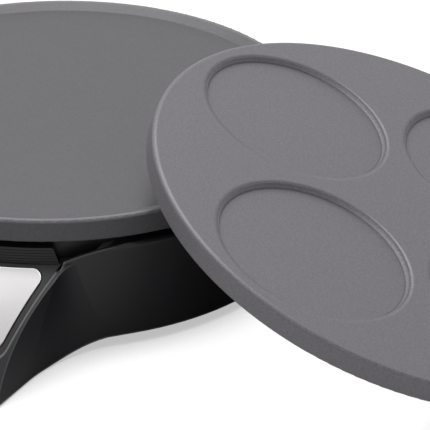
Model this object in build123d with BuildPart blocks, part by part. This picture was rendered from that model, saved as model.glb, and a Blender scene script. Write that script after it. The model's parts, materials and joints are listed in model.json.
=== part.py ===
from build123d import *
import math
import os

# An electric crepe maker: a round base with a tongue-shaped console, a crepe plate that lies on
# it, and a pancake plate that leans beside it. Millimetres. The pieces are made about the base's
# own upright axis, with the table at z = 0 and the console towards -Y. At the end the whole set
# is moved so that the origin lies under the middle of its bounding box.

# ------------------------------------------------------------------ driving sizes of the base
drum_radius = 150.0
drum_bottom = 6.65
drum_top = 63.7
wall = 2.5
drum_rounding = 2.5
fit_gap = 0.3              # between pieces that stand face to face without touching
collar_radius = drum_radius - 9.0    # outside of the collar that carries the reflector pan
collar_wall = 2.5
plate_gap = 5.0            # between the drum's top and the plate's skirt

# the console's face, an arc from the drum down to the nose
console_top_height = 54.7
console_foot_radius = drum_radius + 42.5
console_foot_height = 22.5
console_bulge = 2.0
shoulder_height = 55.7     # where the dip of the drum's top edge meets the console
shoulder_inner = 67.6      # half widths between which it dips
shoulder_outer = 103.0
shoulder_over = 0.15       # of the dip's outer ends above the drum's top
shoulder_rounding = 0.6

# the tongue: half widths between its straight flanks at the root line and a flank run before it
tongue_root = drum_radius * 2 / 3
flank_run = 100.0
root_half_floor = 71.4
root_half_top = 82.1
front_half_floor = 61.1
front_half_top = 44.0
flank_blend_floor = 89.0   # hollow radii that lead the flanks into the drum
flank_blend_top = 10.0
blend_sink = 0.4           # of the hollow's end below the drum's wall
nose_radius = console_foot_radius + 20.0
nose_rounding = 6.0
toe_clearance = 1.0        # the toe's lower edge above the table
toe_back = drum_radius + 10.0    # where the lower edge starts to rise towards the drum
toe_rise_end = drum_radius - 38.0

# bezel, panel and rail
bezel_thickness = 2.5
bezel_reach = console_foot_radius + 1.5
bezel_half_top = 74.5      # half width at the root line
bezel_half_foot = 53.1     # half width at the reach
bezel_corner = 9.0
bezel_clearance = 0.15
panel_top_radius = drum_radius + 2.6
panel_foot_radius = console_foot_radius - 2.0
panel_half_top = 70.8      # half width at the root line
panel_half_foot = 50.9     # half width at the foot radius
panel_top_corner = 5.0
panel_foot_corner = 7.0
panel_thickness = 1.4
panel_stands_out = 0.4
panel_groove = 0.8
rail_front_radius = drum_radius - 0.4
rail_back_radius = drum_radius - 8.0
rail_rise = 0.9            # of the rail's top above the drum's
rail_half_angle = 26.0
rail_end_slant = 18.0
rail_corner = 2.0
rail_groove = 0.3
rail_groove_count = 5

# ------------------------------------------------------------------ driving sizes of the plates
plate_radius = drum_radius + 0.8
crepe_plate_height = 13.0
pancake_plate_height = 12.4
skirt_wall = 4.0
underside_height = 6.0     # from the skirt's lower edge up to the underside
rim_rounding = 1.2
skirt_rounding = 0.8
crepe_lip_height = 3.0
crepe_lip_flat = 2.0
crepe_lip_slope = 7.0
lip_foot_rounding = 3.0
recess_count = 4
recess_radius = 55.0
recess_depth = 3.0
recess_draft = 28.0
recess_rounding = 1.0
recess_pitch_radius = 87.0
recess_turn = 72.0
land_inner_radius = 62.0   # the flat ring under a plate that meets the heating element
land_outer_radius = 98.0
lug_count = 6              # lugs that centre a plate on the collar
lug_width = 6.0
lug_height = 5.0
rib_count = 8
rib_width = 3.0
rib_height = 3.5
rib_outer_radius = 132.0
lean_angle = 21.24
lean_offset_y = -17.3
lean_gap = 0.4             # between the leaning plate and the crepe plate's rim

# ------------------------------------------------------------------ driving sizes of the inside
sheet = 0.8
pan_floor_height = 56.0
pan_corner = 5.0
pan_rim_overhang = 0.4     # of the pan's rim over the collar
element_ring_radius = 80.0
tube_radius = 4.0
element_gap_angle = 36.0
element_bend = 8.0
element_end_height = 46.0
terminal_pin_radius = 1.5
terminal_pin_length = 8.0
bush_radius = 6.0
bush_flange = 2.0
bush_length = 9.0
clip_count = 3
clip_width = 8.0
clip_foot = 16.0
sleeve_clearance = 0.05
base_pan_height = 8.0
base_pan_thickness = 2.5
base_pan_clearance = 0.4
post_bore_depth = 20.0
base_screw_grip = 8.0
pan_screw_length = 12.0
foot_bead = 1.0            # the bead that holds a foot's stem
foot_bead_height = 3.0
vent_count = 10
vent_length = 34.0
vent_width = 3.0
vent_circle = 62.0
post_count = 3
post_circle = drum_radius - 34.0
post_radius = 5.0
screw_radius = 1.5
screw_head_radius = 3.2
screw_head_height = 1.8
boss_radius = 4.5
boss_circle = drum_radius - 7.0
drum_boss_angles = (20.0, 90.0 - 22.0, 90.0 + 22.0, 160.0, 205.0, 335.0)
toe_boss_y = -(drum_radius + 24.0)
toe_boss_height = 11.0
toe_boss_sink = 1.8        # of the toe's bosses into the flank's wall
foot_radius = 9.0
foot_circle = drum_radius - 38.0
foot_angles = (45.0, 135.0, 200.0, 340.0)
toe_foot_x = 36.0
toe_foot_y = -(drum_radius + 26.0)
foot_stem_radius = 3.0
gland_height = 22.0
gland_radius = 7.5
gland_bore = 3.6
gland_flange = 2.0

# control parts
knob_radius = 18.0
knob_gap = 0.5             # under the knob's skirt
knob_skirt_height = 3.0
knob_grip_radius = 14.5
knob_height = 15.0
knob_flutes = 20
knob_flute_radius = 1.3
spindle_radius = 3.0
spindle_clearance = 0.05
lamp_turn = 11.0
lamp_radius = 4.0
lamp_dome = 1.4
lamp_depth = 16.0
lamp_holder_wall = 2.0
lamp_ledge = 1.0           # of the panel over the holes for the lamps and the spindle
thermostat_length = 44.0
thermostat_width = 32.0
thermostat_depth = 14.0
thermostat_corner = 3.0
bracket_thickness = 1.0
bracket_depth = 7.5        # the bracket's top below the console's face
bracket_screw_margin = 7.0    # of the bracket's screws beyond the thermostat's sides
bracket_screw_grip = 3.5
spindle_grip = 10.5        # length of the spindle inside the knob
pointer_width = 2.4
pointer_length = 10.0
pointer_sink = 0.8
pointer_stands_out = 0.2
tag_width = 6.3            # flat tags that take the leads
tag_length = 6.0
sensor_radius = 3.0
sensor_length = 60.0
sensor_offset = 34.0
capillary_radius = 1.0
capillary_run = 16.0

fuse_radius = 2.0
fuse_length = 14.0
fuse_place = (-40.0, 20.0)
block_length = 34.0
block_width = 18.0
block_height = 14.0
block_y = 108.0
block_poles = 3
lead_radius = 1.1
lead_height = 16.0         # of the leads' long runs above the table
lead_first_run = 26.0      # from the terminal block down to the base pan
lead_swing = 12.0          # of the neutral lead, clear of the middle
lead_bend_y = 40.0
lead_leg_run = 50.0        # last straight run before the element's end
live_way = ((25.0, 40.0), (37.0, 0.0), (41.0, -50.0))    # plan of the live lead's run
live_rise = 34.0           # where the live lead leaves the base pan behind its tag
switched_run = 24.0        # the switched lead's last run to the element's end
connector_radius = 2.6
connector_length = 9.0

# ------------------------------------------------------------------ places worked out from them
plate_bottom = drum_top + plate_gap
plate_underside = plate_bottom + underside_height
pan_rim_top = plate_underside - fit_gap
collar_top = pan_rim_top - sheet
element_height = plate_bottom - fit_gap - tube_radius
collar_inner = collar_radius - collar_wall
shelf_bottom = console_top_height - bezel_thickness
collar_bottom = shelf_bottom - collar_wall
base_pan_top = base_pan_height + base_pan_thickness

console_fall = math.atan2(console_top_height - console_foot_height, console_foot_radius - drum_radius)
console_chord = math.hypot(console_top_height - console_foot_height, console_foot_radius - drum_radius)
console_curve = (console_chord ** 2 / 4 + console_bulge ** 2) / (2 * console_bulge)
half_sweep = math.asin(console_chord / 2 / console_curve)
console_mid = (
    (drum_radius + console_foot_radius) / 2 + console_bulge * math.sin(console_fall),
    (console_top_height + console_foot_height) / 2 + console_bulge * math.cos(console_fall),
)
console_centre = (
    console_mid[0] - console_curve * math.sin(console_fall),
    console_mid[1] - console_curve * math.cos(console_fall),
)
foot_fall = console_fall + half_sweep    # slope of the face where the nose begins
nose_run = nose_radius - console_foot_radius
nose_curve = (nose_run ** 2 + console_foot_height ** 2) / (
    2 * (console_foot_height * math.cos(foot_fall) - nose_run * math.sin(foot_fall))
)
nose_centre = (
    console_foot_radius - nose_curve * math.sin(foot_fall),
    console_foot_height - nose_curve * math.cos(foot_fall),
)
gland_plane = Plane(origin=(0, drum_radius - wall / 2, gland_height), x_dir=(1, 0, 0), z_dir=(0, 1, 0))
knob_plane = Plane(
    origin=(0, -console_mid[0], console_mid[1]),
    x_dir=(1, 0, 0),
    z_dir=(0, -math.sin(console_fall), math.cos(console_fall)),
)
knob_seat = knob_plane.offset(panel_stands_out + knob_gap)
knob_plane_axis = Axis(knob_plane.origin, knob_plane.z_dir)


# ------------------------------------------------------------------ shared forms
def polar(radius, angle):
    """A place at a radius and an angle in degrees round the drum's axis."""
    return (radius * math.cos(math.radians(angle)), radius * math.sin(math.radians(angle)))


def on_arc(centre, radius, angle):
    """A point of a console arc, at an angle from the vertical."""
    return (centre[0] + radius * math.sin(angle), centre[1] + radius * math.cos(angle))


def console_section(inset, start_angle, top, inner, bottom, rounding):
    """Half section under the console's face and nose, brought in by inset, up to a flat top."""
    curve = console_curve - inset
    nose = nose_curve - inset
    end_angle = math.acos((bottom - nose_centre[1]) / nose)
    start = on_arc(console_centre, curve, start_angle)
    joint = on_arc(console_centre, curve, foot_fall)
    end = on_arc(nose_centre, nose, end_angle)
    outline = [end, (inner, bottom), (inner, top)]
    if top - start[1] > wall:
        outline.append((start[0], top))
    outline.append(start)
    with BuildSketch(Plane.XZ) as section:
        with BuildLine():
            ThreePointArc(start, on_arc(console_centre, curve, (start_angle + foot_fall) / 2), joint)
            ThreePointArc(joint, on_arc(nose_centre, nose, (foot_fall + end_angle) / 2), end)
            Polyline(outline)
        make_face()
        if rounding > 0:
            fillet(section.vertices().group_by(Axis.Y)[-1].sort_by(Axis.X)[-1], rounding)
    return section.sketch


def drum_section(inset):
    """Half section of the whole housing: the drum, and the console in front of it."""
    curve = console_curve - inset
    start_angle = math.asin((drum_radius - inset - console_centre[0]) / curve)
    return console_section(inset, start_angle, drum_top - inset, 0, -wall, drum_rounding - inset)


def shelf_section(depth):
    """Half section of the console under its face and the level shelf behind it."""
    curve = console_curve - depth
    start_angle = math.acos((console_top_height - depth - console_centre[1]) / curve)
    return console_section(depth, start_angle, console_top_height - depth, tongue_root, 0, 0)


def at_height(floor_value, top_value, height):
    """A size that changes evenly from the floor to the drum's top."""
    return floor_value + (top_value - floor_value) * height / drum_top


def flank_half(y, height):
    """Half width between the straight flanks at a place in front of the axis and a height."""
    root = at_height(root_half_floor, root_half_top, height)
    front = at_height(front_half_floor, front_half_top, height)
    return root + (root - front) * (y + tongue_root) / flank_run


def crossing(place, along, radius):
    """Where a line through a place crosses a circle about the drum's axis, nearer the nose."""
    reach = place.dot(along)
    return place - along * (reach + math.sqrt(reach ** 2 - place.dot(place) + radius ** 2))


def tongue_outline(height, inset):
    """Plan of the tongue at one height: nose, rounded corners, straight flanks, hollow blends."""
    slant = math.atan(
        (flank_half(-tongue_root, height) - flank_half(-tongue_root - flank_run, height)) / flank_run
    )
    along = Vector(math.sin(slant), math.cos(slant))
    outward = Vector(math.cos(slant), -math.sin(slant))
    flank = Vector(flank_half(-tongue_root, height), -tongue_root) - outward * inset
    blend = at_height(flank_blend_floor, flank_blend_top, height) + inset
    drum = drum_radius - blend_sink - inset
    nose = nose_radius - inset
    corner = nose_rounding - inset
    blend_centre = crossing(flank + outward * blend, along, drum + blend)
    corner_centre = crossing(flank - outward * corner, along, nose - corner)
    blend_end = blend_centre.normalized() * drum
    with BuildSketch(Plane.XY.offset(height)) as outline:
        with BuildLine():
            front = TangentArc((0, -nose), corner_centre.normalized() * nose, tangent=(1, 0))
            TangentArc(front @ 1, corner_centre + outward * corner, tangent=front % 1)
            Line(corner_centre + outward * corner, blend_centre - outward * blend)
            TangentArc(blend_centre - outward * blend, blend_end, tangent=along)
            Line(blend_end, (0, blend_end.Y))
            mirror(about=Plane.YZ)
        make_face()
    return outline.sketch


def housing_form(inset):
    """The closed form of drum and tongue, brought in all round by inset."""
    with BuildPart() as form:
        loft([tongue_outline(0, inset), tongue_outline(drum_top, inset)], ruled=True)
        with BuildSketch() as drum:
            Circle(drum_radius - inset)
        extrude(drum.sketch, amount=drum_top)
        revolve(drum_section(inset), axis=Axis.Z, mode=Mode.INTERSECT)
    return form.part


def front_trapezoid(half_root, half_foot, foot):
    """Plan between two lines that close in from the root line to a foot, and on to the nose."""
    half_nose = half_foot - (half_root - half_foot) * (nose_radius - foot) / (foot - tongue_root)
    with BuildSketch() as plan:
        with BuildLine():
            Polyline(
                (-half_root, -tongue_root),
                (-half_nose, -nose_radius),
                (half_nose, -nose_radius),
                (half_root, -tongue_root),
                close=True,
            )
        make_face()
    return plan.sketch


def bezel_plan(clearance):
    """Plan of the bezel: a ring sector with straight sides."""
    with BuildSketch() as plan:
        Circle(bezel_reach + clearance)
        add(
            front_trapezoid(bezel_half_top + clearance, bezel_half_foot + clearance, bezel_reach),
            mode=Mode.INTERSECT,
        )
        Rectangle(2 * (shoulder_inner + clearance), 4 * drum_radius, mode=Mode.INTERSECT)
        fillet(plan.vertices().sort_by(Axis.Y)[0:2], bezel_corner + clearance)
        Circle(rail_back_radius - clearance, mode=Mode.SUBTRACT)
    return plan.sketch


def panel_plan(clearance):
    """Plan of the control panel, or of the pocket that takes it."""
    with BuildSketch() as plan:
        Circle(panel_foot_radius + clearance)
        Circle(panel_top_radius - clearance, mode=Mode.SUBTRACT)
        add(
            front_trapezoid(panel_half_top + clearance, panel_half_foot + clearance, panel_foot_radius),
            mode=Mode.INTERSECT,
        )
        fillet(plan.vertices().sort_by(Axis.Y)[0:2], panel_foot_corner + clearance)
        fillet(plan.vertices().sort_by(Axis.Y)[-2:], panel_top_corner + clearance)
    return plan.sketch


def console_band(plan, depth_top, depth_bottom):
    """The part of an upright prism between two depths below the console's face."""
    low = console_foot_height / 3
    with BuildPart() as band:
        extrude(Plane.XY.offset(low) * plan, amount=drum_top - low)
        revolve(shelf_section(depth_top), axis=Axis.Z, mode=Mode.INTERSECT)
        revolve(shelf_section(depth_bottom), axis=Axis.Z, mode=Mode.SUBTRACT)
    return band.part


# ------------------------------------------------------------------ housing
# Moulded black drum and tongue in one shell. The drum's top edge dips into the console, a collar
# stands up inside it, and long bosses take the screws of the base pan.
def shoulder_notch():
    """Front view of the opening where the drum's top edge dips to the console, drawn as a solid."""
    dip_start = (shoulder_outer, drum_top + shoulder_over)
    dip_end = (-shoulder_outer, drum_top + shoulder_over)
    with BuildPart() as notch:
        with BuildSketch(Plane.XZ):
            with BuildLine():
                Line((-shoulder_inner, shelf_bottom), (shoulder_inner, shelf_bottom))
                Line((shoulder_inner, shelf_bottom), (shoulder_inner, shoulder_height))
                TangentArc(dip_start, (shoulder_inner, shoulder_height), tangent=(-1, 0))
                Polyline(
                    dip_start,
                    (shoulder_outer, drum_top + wall),
                    (-shoulder_outer, drum_top + wall),
                    dip_end,
                )
                TangentArc(dip_end, (-shoulder_inner, shoulder_height), tangent=(1, 0))
                Line((-shoulder_inner, shoulder_height), (-shoulder_inner, shelf_bottom))
            make_face()
        extrude(amount=drum_radius + wall)
    return notch.part


def on_dip(edge):
    """Whether an edge of the housing is the outer edge of the dip."""
    fall = drum_top + shoulder_over - shoulder_height
    run = shoulder_outer - shoulder_inner
    radius = (run ** 2 + fall ** 2) / (2 * fall)
    middle = edge @ 0.5
    from_centre = math.hypot(abs(middle.X) - shoulder_outer, middle.Z - shoulder_height - fall + radius)
    outside = math.hypot(middle.X, middle.Y) > drum_radius - drum_rounding / 2
    return middle.Y < 0 and outside and abs(from_centre - radius) < sleeve_clearance


def lower_edge_relief():
    """Side view of what lies under the lower edge, which sinks from the drum to the toe."""
    with BuildPart() as relief:
        with BuildSketch(Plane.YZ):
            with BuildLine():
                Spline(
                    (-toe_back, toe_clearance),
                    (-toe_rise_end, drum_bottom),
                    tangents=((1, 0), (1, 0)),
                )
                Polyline(
                    (-toe_rise_end, drum_bottom),
                    (drum_radius + wall, drum_bottom),
                    (drum_radius + wall, -wall),
                    (-nose_radius - wall, -wall),
                    (-nose_radius - wall, toe_clearance),
                    (-toe_back, toe_clearance),
                )
            make_face()
        extrude(amount=drum_radius + wall, both=True)
    return relief.part


def boss_places():
    """Where the long screw bosses stand round the drum."""
    return [polar(boss_circle, angle) for angle in drum_boss_angles]


def toe_places(x, y):
    """A pair of places either side of the console's middle."""
    return [(-x, y), (x, y)]


toe_boss_x = (
    flank_half(toe_boss_y, base_pan_top + toe_boss_height) - wall - boss_radius + toe_boss_sink
)
with BuildPart() as housing:
    add(housing_form(0))
    add(housing_form(wall), mode=Mode.SUBTRACT)
    add(console_band(bezel_plan(bezel_clearance), -wall, bezel_thickness), mode=Mode.SUBTRACT)
    add(shoulder_notch(), mode=Mode.SUBTRACT)
    add(lower_edge_relief(), mode=Mode.SUBTRACT)
    with BuildSketch(Plane.XY.offset(collar_bottom)) as collar:
        Circle(collar_radius)
    extrude(collar.sketch, amount=collar_top - collar_bottom)
    with BuildSketch(Plane.XY.offset(collar_bottom)) as mouth:
        Circle(collar_inner)
    extrude(mouth.sketch, amount=collar_top - collar_bottom, mode=Mode.SUBTRACT)
    with BuildSketch(Plane.XY.offset(base_pan_top)) as bosses:
        with Locations(boss_places()):
            Circle(boss_radius)
    extrude(bosses.sketch, amount=drum_top - wall - base_pan_top)
    with BuildSketch(Plane.XY.offset(base_pan_top)) as toe_bosses:
        with Locations(toe_places(toe_boss_x, toe_boss_y)):
            Circle(boss_radius)
    extrude(toe_bosses.sketch, amount=toe_boss_height)
    with Locations(*[(x, y, base_pan_top) for x, y in boss_places() + toe_places(toe_boss_x, toe_boss_y)]):
        Cylinder(
            screw_radius + sleeve_clearance,
            toe_boss_height - wall,
            align=(Align.CENTER, Align.CENTER, Align.MIN),
            mode=Mode.SUBTRACT,
        )
    with Locations(gland_plane):
        Cylinder(gland_radius + sleeve_clearance, 4 * wall, mode=Mode.SUBTRACT)
    fillet(housing.edges().filter_by(on_dip), shoulder_rounding)
housing.part.label = "housing"


# ------------------------------------------------------------------ bezel
# Dark frame that closes the top of the console. Its level shelf runs back under the rail, and a
# pocket in its face takes the control panel.
def panel_bore(plane, radius):
    """A round cutter through the console's face."""
    with BuildPart() as bore:
        with Locations(plane):
            Cylinder(radius, 6 * bezel_thickness)
    return bore.part


def lamp_plane(turn):
    """The place of a lamp on the console's face, turned about the drum's axis."""
    return Plane(Rotation(0, 0, turn) * knob_plane.location)


pocket_depth = panel_thickness - panel_stands_out
bracket_screw_y = thermostat_width / 2 + bracket_screw_margin
with BuildPart() as console_bezel:
    add(console_band(bezel_plan(0), 0, bezel_thickness))
    with BuildSketch(knob_plane.offset(-bracket_depth)) as bracket_bosses:
        with Locations((0, -bracket_screw_y), (0, bracket_screw_y)):
            Circle(boss_radius)
    extrude(bracket_bosses.sketch, amount=bracket_depth - bezel_thickness - 2 * fit_gap)
    with BuildSketch(knob_plane.offset(-bracket_depth)) as bracket_holes:
        with Locations((0, -bracket_screw_y), (0, bracket_screw_y)):
            Circle(screw_radius + sleeve_clearance)
    extrude(bracket_holes.sketch, amount=bracket_screw_grip + fit_gap, mode=Mode.SUBTRACT)
    add(console_band(panel_plan(panel_groove), -wall, pocket_depth), mode=Mode.SUBTRACT)
    add(panel_bore(knob_plane, spindle_radius + 2 * lamp_ledge), mode=Mode.SUBTRACT)
    for turn in (-lamp_turn, lamp_turn):
        wide_bore = panel_bore(lamp_plane(turn), lamp_radius + lamp_ledge + sleeve_clearance)
        add(wide_bore, mode=Mode.SUBTRACT)
console_bezel.part.label = "console_bezel"

# ------------------------------------------------------------------ control panel
# Thin silver inset, a ring sector with rounded corners, bored for the knob's spindle and lamps.
with BuildPart() as control_panel:
    add(console_band(panel_plan(0), -panel_stands_out, pocket_depth - sleeve_clearance))
    add(panel_bore(knob_plane, spindle_radius + lamp_ledge), mode=Mode.SUBTRACT)
    for turn in (-lamp_turn, lamp_turn):
        add(panel_bore(lamp_plane(turn), lamp_radius + sleeve_clearance), mode=Mode.SUBTRACT)
control_panel.part.label = "control_panel"

# ------------------------------------------------------------------ front rail
# Black moulded bar on the bezel's shelf, with fine grooves round its front.
rail_height = drum_top + rail_rise - console_top_height
with BuildPart() as front_rail:
    with BuildSketch(Plane.XY.offset(console_top_height)) as rail_plan:
        Circle(rail_front_radius)
        Circle(rail_back_radius, mode=Mode.SUBTRACT)
    extrude(rail_plan.sketch, amount=rail_height)
    with BuildSketch(Plane.XY.offset(console_top_height)) as rail_sector:
        with BuildLine():
            Polyline(
                (0, 0),
                polar(2 * drum_radius, -90 - rail_half_angle),
                polar(2 * drum_radius, -90 + rail_half_angle),
                close=True,
            )
        make_face()
    extrude(rail_sector.sketch, amount=rail_height, taper=rail_end_slant, mode=Mode.INTERSECT)
    end_faces = front_rail.faces().filter_by(GeomType.PLANE).filter_by(Axis.Z, reverse=True)
    fillet(end_faces.edges().group_by(Axis.Z)[-1], rail_corner)
    with BuildSketch(Plane.XZ) as grooves:
        for index in range(rail_groove_count):
            step = rail_height * (index + 1) / (rail_groove_count + 1)
            with Locations((rail_front_radius, console_top_height + step)):
                Rectangle(2 * rail_groove, rail_groove)
    revolve(grooves.sketch, axis=Axis.Z, mode=Mode.SUBTRACT)
front_rail.part.label = "front_rail"

# ------------------------------------------------------------------ reflector pan
# Pressed steel pan that hangs in the collar by its rim. Plates lie on the rim. Its floor is
# screwed to posts of the base pan, and has holes for the element's ends and the capillary.
pan_radius = collar_inner - fit_gap
pan_depth = pan_rim_top - pan_floor_height
post_angles = [-90.0 + 360.0 / post_count * index for index in range(post_count)]
post_places = [polar(post_circle, angle) for angle in post_angles]
bend_turn = math.degrees(element_bend / element_ring_radius)
leg_turn = element_gap_angle / 2
leg_places = []
for side in (-1, 1):
    ring_end = polar(element_ring_radius, -90 + side * leg_turn)
    leg_places.append(
        (
            ring_end[0] - side * element_bend * math.cos(math.radians(leg_turn)),
            ring_end[1] - element_bend * math.sin(math.radians(leg_turn)),
        )
    )
capillary_hole = (sensor_length / 2 + capillary_run, -sensor_offset)


def pan_outline(radius, floor, top, corner):
    """Half section of a round tray."""
    with BuildSketch() as tray:
        with Locations((0, floor)):
            Rectangle(radius, top - floor, align=Align.MIN)
        fillet(tray.vertices().sort_by(Axis.Y)[0:2].sort_by(Axis.X)[-1], corner)
    return tray.sketch


with BuildPart() as reflector_pan:
    with BuildSketch(Plane.XZ) as pan_section:
        add(pan_outline(pan_radius, pan_floor_height - sheet, pan_rim_top, pan_corner + sheet))
        with Locations((0, pan_rim_top - sheet)):
            Rectangle(collar_radius + pan_rim_overhang, sheet, align=Align.MIN)
        add(
            pan_outline(pan_radius - sheet, pan_floor_height, pan_rim_top + sheet, pan_corner),
            mode=Mode.SUBTRACT,
        )
    revolve(pan_section.sketch, axis=Axis.Z)
    with Locations(*[(x, y, pan_floor_height) for x, y in post_places]):
        Cylinder(screw_radius + sleeve_clearance, 4 * sheet, mode=Mode.SUBTRACT)
    with Locations(*[(x, y, pan_floor_height) for x, y in leg_places]):
        Cylinder(bush_radius + sleeve_clearance, 4 * sheet, mode=Mode.SUBTRACT)
    with Locations((*capillary_hole, pan_floor_height)):
        Cylinder(2 * capillary_radius, 4 * sheet, mode=Mode.SUBTRACT)
reflector_pan.part.label = "reflector_pan"

# ------------------------------------------------------------------ heating element
# Sheathed steel tube bent to an open ring just under the plate's land, with both ends turned
# down through ceramic bushes in the pan, and a threaded pin in each end.
with BuildPart() as heating_element:
    with BuildLine() as element_path:
        start_angle = -90 + leg_turn
        ring = CenterArc((0, 0, element_height), element_ring_radius, start_angle, 360 - element_gap_angle)
        for side, ring_end, (x, y) in ((1, ring @ 0, leg_places[1]), (-1, ring @ 1, leg_places[0])):
            drop = Vector(x, y, element_height - element_bend)
            out = Vector(x, y, element_height) - ring_end
            middle = ring_end + out * math.sin(math.pi / 4) - Vector(
                0, 0, element_bend * (1 - math.cos(math.pi / 4))
            )
            ThreePointArc(ring_end, middle, drop)
            Line(drop, (x, y, element_end_height))
    tube_start = Plane(origin=(*leg_places[1], element_end_height), z_dir=(0, 0, 1))
    with BuildSketch(tube_start) as tube_section:
        Circle(tube_radius)
    sweep(tube_section.sketch, path=element_path.wires()[0])
    with Locations(*[(x, y, element_end_height) for x, y in leg_places]):
        Cylinder(
            terminal_pin_radius,
            terminal_pin_length * 2,
        )
heating_element.part.label = "heating_element"

# ------------------------------------------------------------------ element bushes
# White ceramic bushes, one round each end of the tube, with a flange against the pan's underside.
with BuildPart() as element_bushes:
    with Locations(*[(x, y, pan_floor_height) for x, y in leg_places]):
        Cylinder(bush_radius, bush_length, align=(Align.CENTER, Align.CENTER, Align.MAX))
        with Locations((0, 0, -sheet)):
            Cylinder(
                bush_radius + bush_flange, sheet * 2, align=(Align.CENTER, Align.CENTER, Align.MAX)
            )
        Cylinder(tube_radius + sleeve_clearance, 4 * bush_length, mode=Mode.SUBTRACT)
element_bushes.part.label = "element_bushes"

# ------------------------------------------------------------------ element clips
# Sheet steel cradles that hold the ring above the pan's floor.
clip_angles = [90.0 + 360.0 / clip_count * index for index in range(clip_count)]


def cradle(side_view, tube, drop):
    """A foot, a web and the lower half of a ring round a tube that lies a drop above the foot."""
    inside = tube + sleeve_clearance + clip_width ** 2 / (8 * element_ring_radius)
    with BuildPart() as clip:
        with BuildSketch(side_view) as clip_section:
            Circle(inside + sheet)
            with Locations((0, inside)):
                Rectangle(4 * inside, 2 * inside, mode=Mode.SUBTRACT)
            with Locations((0, -drop)):
                Rectangle(sheet, drop - tube, align=(Align.CENTER, Align.MIN))
                Rectangle(clip_foot, sheet, align=(Align.CENTER, Align.MIN))
            Circle(inside, mode=Mode.SUBTRACT)
        extrude(clip_section.sketch, amount=clip_width / 2, both=True)
    return clip.part


with BuildPart() as element_clips:
    for angle in clip_angles:
        across_ring = Plane(
            origin=(*polar(element_ring_radius, angle), element_height),
            x_dir=(*polar(1, angle), 0),
            z_dir=(*polar(1, angle - 90), 0),
        )
        add(cradle(across_ring, tube_radius, element_height - pan_floor_height))
element_clips.part.label = "element_clips"

# ------------------------------------------------------------------ base pan
# Moulded cover under the drum and the tongue, with vent slots, screw holes, sockets for the
# rubber feet and three tall posts that carry the reflector pan.
foot_places = [polar(foot_circle, angle) for angle in foot_angles] + toe_places(toe_foot_x, toe_foot_y)
screw_places = boss_places() + toe_places(toe_boss_x, toe_boss_y)
with BuildPart() as base_pan:
    add(housing_form(wall + base_pan_clearance))
    with BuildSketch(Plane.XY.offset(base_pan_height)) as slab:
        Rectangle(4 * drum_radius, 4 * nose_radius)
    extrude(slab.sketch, amount=base_pan_thickness, mode=Mode.INTERSECT)
    with BuildSketch(Plane.XY.offset(base_pan_height)) as vents:
        with PolarLocations(vent_circle, vent_count):
            SlotOverall(vent_length, vent_width)
    extrude(vents.sketch, amount=base_pan_thickness, mode=Mode.SUBTRACT)
    with BuildSketch(Plane.XY.offset(base_pan_top)) as posts:
        with Locations(post_places):
            Circle(post_radius)
    extrude(posts.sketch, amount=pan_floor_height - sheet - base_pan_top)
    with Locations(*[(x, y, pan_floor_height) for x, y in post_places]):
        Cylinder(screw_radius + sleeve_clearance, 2 * post_bore_depth, mode=Mode.SUBTRACT)
    with Locations(*[(x, y, base_pan_height) for x, y in screw_places]):
        Cylinder(screw_radius + sleeve_clearance, 4 * base_pan_thickness, mode=Mode.SUBTRACT)
    with Locations(*[(x, y, base_pan_height) for x, y in foot_places]):
        Cylinder(foot_stem_radius + sleeve_clearance, 4 * base_pan_thickness, mode=Mode.SUBTRACT)
base_pan.part.label = "base_pan"

# ------------------------------------------------------------------ rubber feet
# Rubber feet, each with a stem and a bead pushed through the base pan.
with BuildPart() as rubber_feet:
    with BuildSketch(Plane.XZ) as foot_section:
        with BuildLine():
            Polyline(
                (0, 0),
                (foot_radius - foot_bead, 0),
                (foot_radius, foot_bead),
                (foot_radius, base_pan_height),
                (foot_stem_radius, base_pan_height),
                (foot_stem_radius, base_pan_top),
                (foot_stem_radius + foot_bead, base_pan_top),
                (foot_stem_radius, base_pan_top + foot_bead_height),
                (0, base_pan_top + foot_bead_height),
                close=True,
            )
        make_face()
    foot = revolve(foot_section.sketch, axis=Axis.Z, mode=Mode.PRIVATE)
    with Locations(foot_places):
        add(foot)
rubber_feet.part.label = "rubber_feet"


# ------------------------------------------------------------------ screws
def screw(head_height, length):
    """A pan-head screw with its head's seat at z = 0 and its shank upwards."""
    with BuildPart() as one_screw:
        Cylinder(screw_head_radius, head_height, align=(Align.CENTER, Align.CENTER, Align.MAX))
        fillet(one_screw.edges().sort_by(Axis.Z)[0], head_height / 2)
        Cylinder(screw_radius, length, align=(Align.CENTER, Align.CENTER, Align.MIN))
    return one_screw.part


with BuildPart() as base_screws:
    with Locations(*[(x, y, base_pan_height) for x, y in screw_places]):
        add(screw(screw_head_height, base_pan_thickness + base_screw_grip))
base_screws.part.label = "base_screws"

with BuildPart() as pan_screws:
    with Locations(*[Location((x, y, pan_floor_height), (180, 0, 0)) for x, y in post_places]):
        add(screw(screw_head_height, pan_screw_length))
pan_screws.part.label = "pan_screws"

with BuildPart() as bracket_screws:
    for side in (-1, 1):
        seat = knob_plane.offset(-bracket_depth - bracket_thickness)
        with Locations(seat * Location((0, side * bracket_screw_y, 0))):
            add(screw(screw_head_height, bracket_thickness + bracket_screw_grip))
bracket_screws.part.label = "bracket_screws"

# ------------------------------------------------------------------ cord gland
# Soft plastic gland in the drum's back wall, bored for a mains cord, with a flange each side.
with BuildPart() as cord_gland:
    with Locations(gland_plane):
        Cylinder(gland_radius, wall * 4)
        with Locations((0, 0, (wall + gland_flange) / 2)):
            Cylinder(gland_radius + gland_flange, gland_flange)
        with Locations((0, 0, -(wall + gland_flange) / 2 - fit_gap)):
            Cylinder(gland_radius + gland_flange, gland_flange)
        Cylinder(gland_bore, 10 * wall, mode=Mode.SUBTRACT)
cord_gland.part.label = "cord_gland"


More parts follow.
